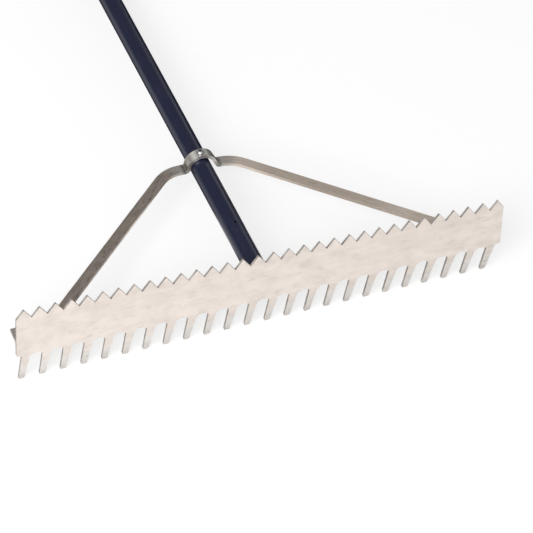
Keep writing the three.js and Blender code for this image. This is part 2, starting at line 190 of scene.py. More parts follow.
# Floor. To the camera it has a darker tone and glows, which keeps a faint shadow on nearly white
FLOOR_REACH = 30
FLOOR_ROUGHNESS = 0.9
FLOOR_TONE = 0.55
FLOOR_TONE_SEEN = 0.36
FLOOR_GLOW_SEEN = 0.67
BLACK = (0, 0, 0)
WHITE = (1, 1, 1)
# Glow of the floor in reflections, by zone. A border is a pair of places, along x or y, that it lies
# between, and an uneven glow is a pair that holds before and after the border
FRONT_X, FRONT_GLOW = (-0.6, 0.6), (0.48, 0.43)
UNDER_Y, UNDER_X, UNDER_GLOW = (-0.94, -1.02), (0.25, -0.45), (0.31, 0.45)
HOLLOW_Y, HOLLOW_GLOW = (-0.935, -0.9), 0
SHADED_Y = (-0.9, -0.84)
BEHIND_Y, BEHIND_GLOW = (-0.86, -0.78), 0.04
STRIP_START_Y, STRIP_END_Y, STRIP_GLOW = (-0.77, -0.73), (-0.68, -0.64), (0.05, 1.2)
RIGHT_X, RIGHT_END_Y, RIGHT_GLOW = (0.1, 0.2), (-0.64, -0.58), 0.6
LEFT_X, LEFT_GLOW = (-0.05, -0.14), 0.92

# Surroundings: where they are brightest, and their strength by how far a place lies that way and by height
STUDIO_FRONT = (-0.25, -0.97, 0)
STUDIO_SIDES, STUDIO_SIDE_STRENGTH = (-0.4, 0.5), (0.27, 0.85)
STUDIO_HEIGHTS, STUDIO_HEIGHT_STRENGTH = (-0.05, 0.45), (0.5, 1)

# Square soft lamps: place, the point that they look at, side and power in watts
LAMPS = {
    "front softbox": ((-2.5, -3.1, 3.2), (0, -0.8, 0.1), 2.2, 150),
    "rear softbox": ((2.7, 1.9, 1.7), (0, -0.6, 0.1), 0.9, 4),
}

# Camera: where it looks, how far off it stands, and its turn about the upright and its own axis
VIEW_POINT = Vector((0.0009, -0.9118, 0.15))
VIEW_DISTANCE = 6.041
VIEW_AZIMUTH = math.radians(28.952)
VIEW_ELEVATION = math.radians(48.245)
VIEW_ROLL = math.radians(9.308)
VIEW_REACH = 100
# Sensor and focal length in millimetres
SENSOR = 36
FOCAL_LENGTH = 236.4


# The head's frame, laid down as the rake lies
cap_face = next(m for m in frame["record"]["mounts"] if m["name"] == "cap_face")
handle_axis = Vector(cap_face["axis"]).normalized()
LAID = Matrix.Translation(Vector(cap_face["pos_m"]) - handle_axis * HANDLE_REACH) @ Matrix.Rotation(
    math.atan2(handle_axis.z, handle_axis.y), 4, "X"
)
UPRIGHT = LAID.inverted()


def from_node(name):
    """Copy of a CAD node in the head's frame, with its triangles merged into flat faces."""
    bm = bmesh.new()
    bm.from_mesh(frame["nodes"][name].data)
    bmesh.ops.remove_doubles(bm, verts=bm.verts, dist=NODE_WELD)
    bmesh.ops.dissolve_limit(
        bm, angle_limit=FLAT_ANGLE, verts=bm.verts, edges=bm.edges, use_dissolve_boundaries=False
    )
    bm.transform(UPRIGHT)
    return bm


def span(bm, axis):
    """Lowest and highest place of a mesh along an axis."""
    places = [vertex.co[axis] for vertex in bm.verts]
    return min(places), max(places)


def middle_of(bm):
    """Middle of a mesh along x and y."""
    return [sum(span(bm, axis)) / 2 for axis in (X, Y)]


def cut_off(bm, height, outward):
    """Cuts away what lies beyond a height, and returns what the cut made."""
    return bmesh.ops.bisect_plane(
        bm,
        geom=list(bm.verts) + list(bm.edges) + list(bm.faces),
        plane_co=(0, 0, height),
        plane_no=(0, 0, outward),
        clear_outer=True,
        dist=CUT_TOLERANCE,
    )["geom_cut"]


def turned(profile, axis, width, segments, steps):
    """Closed body turned about an axis from points (radius, place along it, whether it is rounded)."""
    bm = bmesh.new()
    corners = [bm.verts.new(Vector((radius, 0, 0)) + axis * place) for radius, place, _ in profile]
    for first, second in zip(corners, corners[1:] + corners[:1]):
        bm.edges.new((first, second))
    bmesh.ops.bevel(
        bm,
        geom=[corner for corner, point in zip(corners, profile) if point[2]],
        offset=width,
        segments=segments,
        profile=0.5,
        affect="VERTICES",
        clamp_overlap=True,
        material=-1,
    )
    bmesh.ops.spin(
        bm,
        geom=list(bm.verts) + list(bm.edges),
        cent=(0, 0, 0),
        axis=axis,
        angle=2 * math.pi,
        steps=steps,
        use_merge=True,
        use_duplicate=False,
    )
    bmesh.ops.remove_doubles(bm, verts=bm.verts, dist=TURNED_WELD)
    bmesh.ops.recalc_face_normals(bm, faces=bm.faces)
    return bm


def finished(name, bm, materials, replaces=(), smooth=True):
    """Turns a mesh made in the head's frame into a piece laid down with the rake."""
    bm.transform(LAID)
    mesh = bpy.data.meshes.new(name)
    bm.to_mesh(mesh)
    bm.free()
    for material in materials:
        mesh.materials.append(material)
    if smooth:
        mesh.shade_smooth()
    piece = bpy.data.objects.new(name, mesh)
    bpy.context.scene.collection.objects.link(piece)
    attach(piece, "root")
    if replaces:
        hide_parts(*replaces)
    return piece


def soften(piece, kind):
    """Rounds the sharp edges of a piece and evens its shading."""
    width, limit, segments = EDGES[kind]
    bevel = piece.modifiers.new("edge round", "BEVEL")
    bevel.width = width
    bevel.segments = segments
    bevel.limit_method = "ANGLE"
    bevel.angle_limit = math.radians(limit)
    even = piece.modifiers.new("even shading", "WEIGHTED_NORMAL")
    even.keep_sharp = True


def make_plain(node, name, material, kind):
    """A piece with its node's own form and softened edges."""
    soften(finished(name, from_node(node), [material], [node]), kind)


# Finishes


class Tree:
    """A node tree under construction, with short ways to add nodes and join them."""

    def __init__(self, owner):
        owner.use_nodes = True
        self.nodes = owner.node_tree.nodes
        self.links = owner.node_tree.links

    def feed(self, socket, value):
        """Joins a socket to another node's output, or sets it to a constant."""
        if isinstance(value, bpy.types.NodeSocket):
            self.links.new(value, socket)
        else:
            socket.default_value = value

    def add(self, kind, inputs=None, **settings):
        node = self.nodes.new(kind)
        for key, value in settings.items():
            setattr(node, key, value)
        for key, value in (inputs or {}).items():
            self.feed(node.inputs[key], value)
        return node

    def parts(self, vector):
        """The X, Y and Z outputs of a vector."""
        return self.add("ShaderNodeSeparateXYZ", {"Vector": vector}).outputs

    def spread(self, value, low, high, to_low=0, to_high=1, form="LINEAR"):
        """Part of a value's range spread over another range."""
        return self.add(
            "ShaderNodeMapRange",
            {"Value": value, "From Min": low, "From Max": high, "To Min": to_low, "To Max": to_high},
            interpolation_type=form,
        ).outputs["Result"]

    def ramp(self, value, border, before, after):
        """Smooth passage across a border, from what holds before it to what holds after it."""
        return self.spread(value, *border, before, after, "SMOOTHSTEP")

    def maths(self, operation, first, second=0):
        return self.add("ShaderNodeMath", {0: first, 1: second}, operation=operation).outputs["Value"]

    def mix(self, share, first, second):
        """A colour between two colours."""
        node = self.add("ShaderNodeMix", {"Factor": share}, data_type="RGBA")
        colors = [socket for socket in node.inputs if socket.type == "RGBA"]
        for socket, value in zip(colors, (first, second)):
            self.feed(socket, value if isinstance(value, bpy.types.NodeSocket) else (*value, 1))
        return next(socket for socket in node.outputs if socket.type == "RGBA")


class Finish(Tree):
    """A material under construction, with the patterns that finishes are made of."""

    def __init__(self, name, color, roughness, metallic=0):
        self.material = bpy.data.materials.new(name)
        super().__init__(self.material)
        self.shader = self.nodes["Principled BSDF"]
        self.set("Base Color", (*color, 1))
        self.set("Roughness", roughness)
        self.set("Metallic", metallic)
        self.material.diffuse_color = (*color, 1)
        self.place = self.add("ShaderNodeTexCoord").outputs["Object"]

    def set(self, name, value):
        self.feed(self.shader.inputs[name], value)

    def mapped(self, uv_map):
        """Coordinates from one of the piece's own maps."""
        return self.add("ShaderNodeUVMap", uv_map=uv_map).outputs["UV"]

    def stretched(self, scale, place=None, turn=(0, 0, 0)):
        """Coordinates stretched by a scale for each axis."""
        inputs = {"Vector": place or self.place, "Scale": scale, "Rotation": turn}
        return self.add("ShaderNodeMapping", inputs).outputs["Vector"]

    def noise(self, place, scale=1, detail=3, roughness=0.5, distortion=0):
        inputs = {
            "Vector": place,
            "Scale": scale,
            "Detail": detail,
            "Roughness": roughness,
            "Distortion": distortion,
        }
        return self.add("ShaderNodeTexNoise", inputs).outputs["Fac"]

    def cells(self, place, scale=1, feature="F1"):
        inputs = {"Vector": place, "Scale": scale}
        return self.add("ShaderNodeTexVoronoi", inputs, feature=feature).outputs["Distance"]

    def tint(self, share, cast):
        """Multiplies the colour so far by a cast, where the share says so."""
        so_far = self.shader.inputs["Base Color"].links[0].from_socket
        cast = self.mix(share, WHITE, cast)
        tinted = self.add("ShaderNodeVectorMath", {0: so_far, 1: cast}, operation="MULTIPLY")
        self.set("Base Color", tinted.outputs["Vector"])

    def bump(self, height, depth, strength, under=None):
        """Relief of that depth, on top of another if one lies under it."""
        inputs = {"Height": height, "Distance": depth, "Strength": strength}
        if under:
            inputs["Normal"] = under
        return self.add("ShaderNodeBump", inputs).outputs["Normal"]


def mill_finish(name, bright, dull, roughness, streaks, shares, smudge_scale, uv_map=None):
    """Drawn aluminium: fine lines along the piece, dull bands and clouds, and rubbed smudges.

    The shares say how far the bands, the clouds and the smudges dull it.
    """
    finish = Finish(name, bright, roughness, metallic=1)
    band_share, cloud_share, smudge_share = shares
    place = finish.mapped(uv_map) if uv_map else finish.place
    lines = finish.noise(finish.stretched((9, 1500, 1500), place), detail=2, roughness=0.7)
    bands = finish.noise(finish.stretched(streaks, place), roughness=0.6)
    cloudy = finish.stretched((1, 1.5, 1.5), place)
    clouds = finish.noise(cloudy, scale=24, detail=4, roughness=0.62, distortion=0.3)
    smudges = finish.noise(finish.stretched((1, 2.2, 2.2), place), scale=smudge_scale)
    patches = finish.spread(finish.noise(place, scale=7, detail=2), 0.42, 0.62, 0.25, 1)
    dulling = finish.maths(
        "ADD",
        finish.spread(bands, 0.35, 0.7, 0, band_share),
        finish.spread(clouds, 0.4, 0.7, 0, cloud_share),
    )
    smudging = finish.maths("MULTIPLY", finish.spread(smudges, 0.53, 0.72, 0, smudge_share), patches)
    dulling = finish.maths("ADD", dulling, smudging)
    finish.set("Base Color", finish.mix(dulling, bright, dull))
    worn = finish.spread(dulling, 0, 1, roughness - 0.04, roughness + 0.12)
    finish.set("Roughness", finish.maths("ADD", finish.spread(lines, 0.3, 0.7, -0.05, 0.05), worn))
    low = finish.bump(lines, depth=0.02 * MM, strength=0.5)
    finish.set("Normal", finish.bump(bands, depth=0.05 * MM, strength=0.25, under=low))
    return finish


def head_finish():
    """Mill finish of the head, with a painted reflection: a greyer white towards the tips of the tines."""
    finish = mill_finish(
        "head mill aluminium",
        bright=(0.86, 0.78, 0.718),
        dull=(0.6, 0.545, 0.495),
        roughness=0.38,
        streaks=(8, 90, 90),
        shares=(0.14, 0.38, 0.4),
        smudge_scale=52,
    )
    # Painted reflection of the floor: the tines turn a greyer white towards their tips
    reflection_cast = (0.985, 1.03, 1.065)
    height = finish.parts(finish.place)["Z"]
    finish.tint(finish.spread(height, *PAINTED_REFLECTION_HEIGHTS), reflection_cast)
    return finish.material


def bar_finish():
    """Mill finish of the flat bar, whose drawn lines spread its reflections across it.

    It is brighter where it was pressed, and has painted shade on the saddle's lower sides and foot bends
    and on the right arm.
    """
    finish = mill_finish(
        "bar mill aluminium",
        bright=(0.84, 0.735, 0.64),
        dull=(0.4, 0.34, 0.285),
        roughness=0.42,
        streaks=(34, 300, 300),
        shares=(0.55, 0.3, 0.45),
        smudge_scale=85,
        uv_map=BAR_MAP,
    )
    brighter, painted_shade, arm_shade = (0.98, 1.07, 1.17), (0.38, 0.38, 0.36), (0.86, 0.845, 0.835)
    run = finish.parts(finish.mapped(BAR_MAP))["X"]
    from_crest = finish.maths("ABSOLUTE", run)
    finish.tint(finish.spread(from_crest, *PRESSED), brighter)
    # Painted shade on the saddle's lower sides and in its foot bends, broken up by noise
    shaded_sides = finish.maths("MAXIMUM", finish.spread(run, *PAINTED_SHADE_LEFT), finish.spread(run, *PAINTED_SHADE_RIGHT))
    shade_mask = finish.maths("MULTIPLY", shaded_sides, finish.spread(from_crest, *PAINTED_SHADE_END))
    uneven = finish.spread(finish.noise(finish.place, scale=130), 0.3, 0.6, 0.7, 1)
    finish.tint(finish.maths("MULTIPLY", shade_mask, uneven), painted_shade)
    # Painted shade: the right arm is a shade darker
    from_start, to_end = finish.spread(run, *PAINTED_SHADE_ARM_START), finish.spread(run, *PAINTED_SHADE_ARM_END)
    shaded_arm = finish.maths("MULTIPLY", from_start, to_end)
    finish.tint(shaded_arm, arm_shade)
    along = finish.add("ShaderNodeTangent", direction_type="UV_MAP", uv_map=BAR_MAP)
    finish.set("Tangent", along.outputs["Tangent"])
    finish.set("Anisotropic", 0.8)
    finish.set("Anisotropic Rotation", 0.25)
    return finish.material


def cut_aluminium():
    """Sawn and milled aluminium: coarse lines across the plate and a cloudy tone."""
    bright, dull = (0.84, 0.79, 0.75), (0.46, 0.42, 0.385)
    finish = Finish("sawn aluminium", bright, roughness=0.62, metallic=1)
    lines = finish.noise(finish.stretched((500, 25, 500)), roughness=0.6)
    clouds = finish.noise(finish.place, scale=38, detail=4, roughness=0.6)
    finish.set("Base Color", finish.mix(finish.spread(clouds, 0.35, 0.7), bright, dull))
    finish.set("Roughness", finish.spread(lines, 0.3, 0.7, 0.54, 0.72))
    finish.set("Normal", finish.bump(lines, depth=0.08 * MM, strength=0.6))
    return finish.material


def powder_coat():
    """Dark navy powder coat: orange peel, faint rubbed patches and thin scratches."""
    navy, rubbed, scratched = (0.0088, 0.0118, 0.036), (0.03, 0.032, 0.06), (0.12, 0.12, 0.16)
    finish = Finish("navy powder coat", navy, roughness=0.4)
    peel = finish.noise(finish.place, scale=900, detail=2)
    grain = finish.noise(finish.place, scale=3800, detail=2, roughness=0.6)
    patches = finish.noise(finish.stretched((1, 0.25, 1)), scale=60, detail=4, roughness=0.6)
    rubs = finish.spread(patches, 0.5, 0.8)
    along = finish.stretched((260, 9, 260), turn=(0.1, 0.06, 0))
    lines = finish.spread(finish.cells(along, feature="DISTANCE_TO_EDGE"), 0.012, 0)
    scratches = finish.maths("MULTIPLY", lines, finish.spread(rubs, 0.3, 0.9))
    worn = finish.mix(finish.maths("MULTIPLY", rubs, 0.35), navy, rubbed)
    finish.set("Base Color", finish.mix(finish.maths("MULTIPLY", scratches, 0.5), worn, scratched))
    finish.set("Roughness", finish.spread(rubs, 0, 1, 0.29, 0.42))
    low = finish.bump(peel, depth=0.12 * MM, strength=0.35)
    finish.set("Normal", finish.bump(grain, depth=0.03 * MM, strength=0.25, under=low))
    return finish.material


def zinc_plate():
    """Bright zinc: mottled crystal tone, with a faint warm cast in places."""
    bright, cool, warm = (0.62, 0.63, 0.64), (0.45, 0.46, 0.49), (0.62, 0.57, 0.47)
    finish = Finish("bright zinc plate", bright, roughness=0.3, metallic=1)
    mottle = finish.noise(finish.place, scale=260, detail=4, roughness=0.65)
    cast = finish.noise(finish.place, scale=45, detail=2)
    mottled = finish.mix(finish.spread(mottle, 0.35, 0.7), bright, cool)
    finish.set("Base Color", finish.mix(finish.spread(cast, 0.5, 0.75, 0, 0.5), mottled, warm))
    finish.set("Roughness", finish.spread(mottle, 0.3, 0.7, 0.24, 0.42))
    finish.set("Normal", finish.bump(mottle, depth=0.03 * MM, strength=0.4))
    return finish.material


def spring_steel():
    """Dark heat-treated steel with an uneven oxide tone; in the saddle bolt's socket it is painted shade.
    """
    plain, dark, light = (0.03, 0.029, 0.028), (0.02, 0.019, 0.018), (0.055, 0.05, 0.045)
    finish = Finish("dark spring steel", plain, roughness=0.45, metallic=1)
    oxide = finish.noise(finish.place, scale=420, detail=4, roughness=0.6)
    finish.set("Base Color", finish.mix(finish.spread(oxide, 0.35, 0.7), dark, light))
    finish.set("Roughness", finish.spread(oxide, 0.3, 0.7, 0.38, 0.6))
    finish.set("Normal", finish.bump(oxide, depth=0.04 * MM, strength=0.4))
    return finish.material


def turned_wood():
    """Plain hardwood: grain along the handle, with pores and growth bands."""
    early, late, pored = (0.46, 0.3, 0.16), (0.3, 0.18, 0.085), (0.16, 0.09, 0.04)
    finish = Finish("turned hardwood", (0.42, 0.27, 0.14), roughness=0.7)
    across = finish.stretched((130, 4, 130), turn=(0, 0, 0.5))
    waves = {"Vector": across, "Scale": 1, "Distortion": 5, "Detail": 3}
    rings = finish.add("ShaderNodeTexWave", waves).outputs["Fac"]
    pores = finish.noise(finish.stretched((2600, 60, 2600)), roughness=0.7)
    grain = finish.mix(finish.spread(rings, 0.1, 0.9), early, late)
    finish.set("Base Color", finish.mix(finish.spread(pores, 0.6, 0.75, 0, 0.6), grain, pored))
    finish.set("Normal", finish.bump(pores, depth=0.06 * MM, strength=0.6))
    return finish.material


def black_vinyl():
    """Soft vinyl sleeve: fine leather-like grain, rubbed smoother in patches."""
    plain, fresh, rubbed = (0.012, 0.012, 0.013), (0.01, 0.01, 0.011), (0.024, 0.024, 0.025)
    finish = Finish("black vinyl", plain, roughness=0.6)
    leather = finish.cells(finish.place, scale=950)
    fine = finish.noise(finish.place, scale=2600, detail=2)
    rubs = finish.spread(finish.noise(finish.place, scale=35, detail=4, roughness=0.6), 0.4, 0.75)
    finish.set("Base Color", finish.mix(rubs, fresh, rubbed))
    finish.set("Roughness", finish.spread(rubs, 0, 1, 0.66, 0.46))
    low = finish.bump(leather, depth=0.14 * MM, strength=0.55)
    finish.set("Normal", finish.bump(fine, depth=0.03 * MM, strength=0.3, under=low))
    return finish.material


def black_plastic():
    """Moulded plastic with a fine spark texture."""
    plain, fresh, scuffed = (0.014, 0.014, 0.015), (0.013, 0.013, 0.014), (0.045, 0.045, 0.045)
    finish = Finish("moulded black plastic", plain, roughness=0.5)
    spark = finish.noise(finish.place, scale=2200, roughness=0.6)
    wear = finish.noise(finish.stretched((1, 3, 1)), scale=80, detail=4, roughness=0.65)
    scuffs = finish.spread(wear, 0.55, 0.8)
    finish.set("Base Color", finish.mix(scuffs, fresh, scuffed))
    finish.set("Roughness", finish.spread(scuffs, 0, 1, 0.42, 0.65))
    finish.set("Normal", finish.bump(spark, depth=0.05 * MM, strength=0.45))
    return finish.material


def nylon():
    """Off-white nylon of a lock nut's ring."""
    finish = Finish("lock nut nylon", (0.55, 0.6, 0.66), roughness=0.45)
    tone = finish.noise(finish.place, scale=500)
    finish.set("Base Color", finish.mix(tone, (0.5, 0.56, 0.63), (0.64, 0.67, 0.7)))
    finish.set("Normal", finish.bump(tone, depth=0.03 * MM, strength=0.3))
    finish.set("Subsurface Weight", 0.08)
    return finish.material


HEAD_METAL = head_finish()
CUT_METAL = cut_aluminium()
BAR_METAL = bar_finish()
NAVY_COAT = powder_coat()
ZINC = zinc_plate()
DARK_STEEL_AND_SOCKET_SHADE = spring_steel()
WOOD = turned_wood()
VINYL = black_vinyl()
PLASTIC = black_plastic()
NYLON = nylon()


# Head


def make_head():
    """The toothed head, with its sawn faces told from its drawn ones."""
    bm = from_node("toothed_head")
    for face in bm.faces:
        height = face.calc_center_median().z
        across = abs(face.normal.x) > LOOKS_ALONG_X
        end_cut = abs(face.normal.z) > LOOKS_ALONG_Z and abs(height) > FLANGE_ZONE
        face.material_index = 1 if across or end_cut else 0
    soften(finished("head", bm, [HEAD_METAL, CUT_METAL], ["toothed_head"]), "head")


# Brace


def saddle_side(slope):
    """Length of a saddle side of that slope, and its foot bend's place from the saddle's middle."""
    c, s = math.cos(slope), math.sin(slope)
    run = (SADDLE_LIFT + SADDLE_RADIUS * s - BAR_LEVEL - FOOT_BEND_RADIUS * (1 - s)) / c
    return run, (SADDLE_RADIUS + FOOT_BEND_RADIUS) * c + run * s


def bar_moves(side):
    """Moves that carry the bar's section from the crest to its end: (matrix, metres moved)."""
    slope = SADDLE_SLOPES[side]
    run, foot_x = saddle_side(slope)
    foot_x += side * SADDLE_OFFSET
    reaches = [saddle_side(SADDLE_SLOPES[s])[1] + s * SADDLE_OFFSET for s in SADDLE_SLOPES]
    bend_x = max(reaches) + FOOT_RUN
    bend_y = SADDLE_PLACE - ARM_BEND_RADIUS
    to_foot = FOOT_PLACE - Vector((bend_x, bend_y))
    arm_slope = math.asin(ARM_BEND_RADIUS / to_foot.length) - math.atan2(to_foot.y, to_foot.x)
    arm_length = math.sqrt(to_foot.length_squared - ARM_BEND_RADIUS**2)

    def turn(centre, axis, angle, radius, steps):
        step = Matrix.Rotation(angle / steps, 4, axis)
        move = Matrix.Translation(centre) @ step @ Matrix.Translation(-centre)
        return [(move, radius * abs(angle) / steps)] * steps

    def slide(direction, length, steps=1):
        return [(Matrix.Translation(direction * length / steps), length / steps)] * steps

    crest_centre = Vector((SADDLE_OFFSET, 0, SADDLE_LIFT))
    foot_centre = Vector((side * foot_x, 0, BAR_LEVEL + FOOT_BEND_RADIUS))
    bend_centre = Vector((side * bend_x, bend_y, 0))
    down = Vector((side * math.sin(slope), 0, -math.cos(slope)))
    outward = Vector((side, 0, 0))
    along_arm = Vector((side * math.cos(arm_slope), -math.sin(arm_slope), 0))
    over = side * (math.pi / 2 - slope)
    return (
        turn(crest_centre, "Y", over, SADDLE_RADIUS, SADDLE_STEPS)
        + slide(down, run)
        + turn(foot_centre, "Y", -over, FOOT_BEND_RADIUS, FOOT_BEND_STEPS)
        + slide(outward, bend_x - foot_x)
        + turn(bend_centre, "Z", -side * arm_slope, ARM_BEND_RADIUS, ARM_BEND_STEPS)
        + slide(along_arm, arm_length + BAR_WIDTH / 2, ARM_STEPS)
    )


def make_brace():
    """The flat bar, drawn along its bends from the crest of the saddle to both ends."""
    bm = bmesh.new()
    corner = bm.verts.layers.int.new("corner")
    run = bm.verts.layers.float.new("run")
    crest = Vector((SADDLE_OFFSET, SADDLE_PLACE, SADDLE_LIFT + SADDLE_RADIUS))
    section = []
    for i, (y, z) in enumerate(BAR_CORNERS):
        vertex = bm.verts.new(crest + Vector((0, y * BAR_WIDTH / 2, z * BAR_THICKNESS / 2)))
        vertex[corner] = i
        section.append(vertex)
    first_ring = [bm.edges.new(pair) for pair in zip(section, section[1:] + section[:1])]
    end_corners = []
    for side in (1, -1):
        ring = first_ring
        place = 0.0
        for move, length in bar_moves(side):
            grown = bmesh.ops.extrude_edge_only(bm, edges=ring)["geom"]
            moved = [v for v in grown if isinstance(v, bmesh.types.BMVert)]
            ring = [e for e in grown if isinstance(e, bmesh.types.BMEdge)]
            ring = [e for e in ring if all(v in moved for v in e.verts)]
            bmesh.ops.transform(bm, matrix=move, verts=moved)
            place += side * length
            for vertex in moved:
                vertex[run] = place
        bmesh.ops.holes_fill(bm, edges=ring, sides=len(section))
        end_corners += [e for e in ring if {v[corner] for v in e.verts} in ({0, 1}, {2, 3})]
    bmesh.ops.recalc_face_normals(bm, faces=bm.faces)
    add_bar_map(bm, corner, run)
    bmesh.ops.bevel(
        bm,
        geom=end_corners,
        offset=BAR_END_ROUND,
        segments=BAR_END_SEGMENTS,
        profile=0.5,
        affect="EDGES",
        material=-1,
    )
    piece = finished("brace_bar", bm, [BAR_METAL], ["brace"])
    drill(piece, "saddle_bolt", 0, SADDLE_PLACE)
    drill(piece, "foot_bolt_left", -FOOT_PLACE.x, FOOT_PLACE.y)
    drill(piece, "foot_bolt_right", FOOT_PLACE.x, FOOT_PLACE.y)
    soften(piece, "brace")


def add_bar_map(bm, corner, run):
    """Maps the bar's surface in metres: u along it, v round its section."""
    layer = bm.loops.layers.uv.new(BAR_MAP)
    rounds = (0, BAR_THICKNESS, BAR_THICKNESS + BAR_WIDTH, 2 * BAR_THICKNESS + BAR_WIDTH)
    for face in bm.faces:
        corners = {v[corner] for v in face.verts}
        for loop in face.loops:
            i = loop.vert[corner]
            closing = i == 0 and corners == {0, 3}
            v = 2 * (BAR_THICKNESS + BAR_WIDTH) if closing else rounds[i]
            loop[layer].uv = (loop.vert[run], v)


def drill(piece, bolt, x, y):
    """Takes the round hole of a bolt out of a piece for good."""
    bm = bmesh.new()
    radius = THREADS[bolt][0] + HOLE_CLEARANCE
    bmesh.ops.create_cone(
        bm,
        segments=CUTTER_SIDES,
        radius1=radius,
        radius2=radius,
        depth=CUTTER_LENGTH,
        cap_ends=True,
        cap_tris=False,
    )
    bmesh.ops.translate(bm, vec=(x, y, 0), verts=bm.verts)
    bm.transform(LAID)
    mesh = bpy.data.meshes.new("cutter")
    bm.to_mesh(mesh)
    bm.free()
    cutter = bpy.data.objects.new("cutter", mesh)
    bpy.context.scene.collection.objects.link(cutter)
    hole = piece.modifiers.new("hole", "BOOLEAN")
    hole.object = cutter
    hole.solver = "EXACT"
    shaped = piece.evaluated_get(bpy.context.evaluated_depsgraph_get())
    drilled = bpy.data.meshes.new_from_object(shaped)
    piece.modifiers.clear()
    piece.data = drilled
    bpy.data.objects.remove(cutter)


# Grip and cap


def make_grip():
    """The vinyl sleeve: a thinned open end and rounded finger grooves."""
    inner = TUBE_RADIUS + SEAT
    outer = inner + GRIP_THICKNESS
    groove = outer - GRIP_GROOVE_DEPTH
    tube_end = HANDLE_REACH - CAP_HEAD_LENGTH
    start = tube_end - GRIP_LENGTH
    band = GRIP_LENGTH * GRIP_BAND_SHARE
    plain = GRIP_LENGTH - band
    step = band / GRIP_GROOVES
    half = GRIP_GROOVE_WIDTH / 2
    profile = [(inner, start, False), (outer - GRIP_THINNED, start, True), (outer, start + plain / 4, True)]
    for i in range(GRIP_GROOVES):
        middle = start + plain / 2 + (i + 0.5) * step
        profile += [
            (outer, middle - half, True),
            (groove, middle - half / 2, True),
            (groove, middle + half / 2, True),
            (outer, middle + half, True),
        ]
    profile += [(outer, tube_end, True), (inner, tube_end, False)]
    bm = turned(profile, UP_HANDLE, GRIP_ROUND, TURN_SEGMENTS, TURN_STEPS)
    soften(finished("vinyl_grip", bm, [VINYL], ["grip_sleeve"]), "grip")


def make_cap():
    """The end cap: a domed head with a dished face, and a hollow plug inside the tube."""
    outer = TUBE_RADIUS + SEAT + GRIP_THICKNESS
    plug = TUBE_BORE - SEAT
    tube_end = HANDLE_REACH - CAP_HEAD_LENGTH
    hollow_end = tube_end + CAP_HOLLOW_REACH
    rim, dish = (outer * share for share in CAP_DISH_SHARES)
    profile = [
        (0, hollow_end, False),
        (plug - CAP_WALL, hollow_end, False),
        (plug - CAP_WALL, tube_end - CAP_PLUG_LENGTH, True),
        (plug, tube_end - CAP_PLUG_LENGTH, True),
        (plug, tube_end + SEAT, False),
        (outer, tube_end + SEAT, True),
        (outer, tube_end + CAP_HEAD_LENGTH * CAP_SHOULDER_SHARE, True),
        (outer - CAP_HEAD_LENGTH * CAP_DOME_SHARE, HANDLE_REACH, True),
        (rim, HANDLE_REACH, True),
        (dish, HANDLE_REACH - CAP_DISH_DEPTH, True),
        (0, HANDLE_REACH - CAP_DISH_DEPTH, False),
    ]
    bm = turned(profile, UP_HANDLE, CAP_ROUND, TURN_SEGMENTS, TURN_STEPS)
    soften(finished("end_cap_moulding", bm, [PLASTIC], ["end_cap"]), "cap")


# Fasteners


def thread(radius, pitch, bottom, top, place):
    """Right-hand threaded rod between two heights, with a chamfered lower end."""
    bm = bmesh.new()
    turns = math.ceil((top - bottom) / pitch) + 2
    start = bottom - THREAD_LEAD * pitch
    line = []
    for i in range(2 * turns + 1):
        depth = THREAD_DEPTH_SHARE * pitch if i % 2 else 0
        line.append(bm.verts.new((radius - depth, 0, start + i * pitch / 2)))
    edges = [bm.edges.new(pair) for pair in zip(line, line[1:])]
    bmesh.ops.spin(
        bm,
        geom=line + edges,
        cent=(0, 0, 0),
        axis=UP,
        dvec=UP * pitch / THREAD_STEPS,
        angle=2 * math.pi,
        steps=THREAD_STEPS,
        use_merge=False,
        use_duplicate=False,
    )
    bmesh.ops.remove_doubles(bm, verts=bm.verts, dist=THREAD_WELD)
    for height, outward in ((bottom, -1), (top, 1)):
        cut_off(bm, height, outward)
        rim = [
            edge
            for edge in bm.edges
            if edge.is_boundary and all(abs(v.co.z - height) < RIM_TOLERANCE for v in edge.verts)
        ]
        bmesh.ops.edgeloop_fill(bm, edges=rim)
    for vertex in bm.verts:
        into_tip = max(0.0, 1 - (vertex.co.z - bottom) / pitch)
        vertex.co.x *= 1 - THREAD_TIP_SHARE * into_tip
        vertex.co.y *= 1 - THREAD_TIP_SHARE * into_tip
    bmesh.ops.recalc_face_normals(bm, faces=bm.faces)
    bmesh.ops.translate(bm, vec=(*place, 0), verts=bm.verts)
    return bm


def make_bolt(name):
    """A bolt: the head and the plain part of its shank, and a thread cut on its lower end."""
    radius, pitch = THREADS[name]
    bm = from_node(name)
    x, y = middle_of(bm)
    bottom = span(bm, Z)[0]
    top = bottom + THREAD_TURNS * pitch
    cut = cut_off(bm, top, -1)
    bmesh.ops.edgeloop_fill(bm, edges=[e for e in cut if isinstance(e, bmesh.types.BMEdge)])
    # Faces in the saddle bolt's socket get the dark steel: painted shade in the recess
    for face in bm.faces:
        centre = face.calc_center_median()
        in_socket = math.hypot(centre.x - x, centre.y - y) < SOCKET_RADIUS
        dark = name == SOCKET_BOLT and in_socket and centre.z > TUBE_RADIUS
        face.material_index = 1 if dark else 0
    soften(finished(name + "_body", bm, [ZINC, DARK_STEEL_AND_SOCKET_SHADE], [name]), "bolt")
    rod = thread(radius, pitch, bottom, top - THREAD_GAP, (x, y))
    finished(name + "_thread", rod, [ZINC], smooth=False)


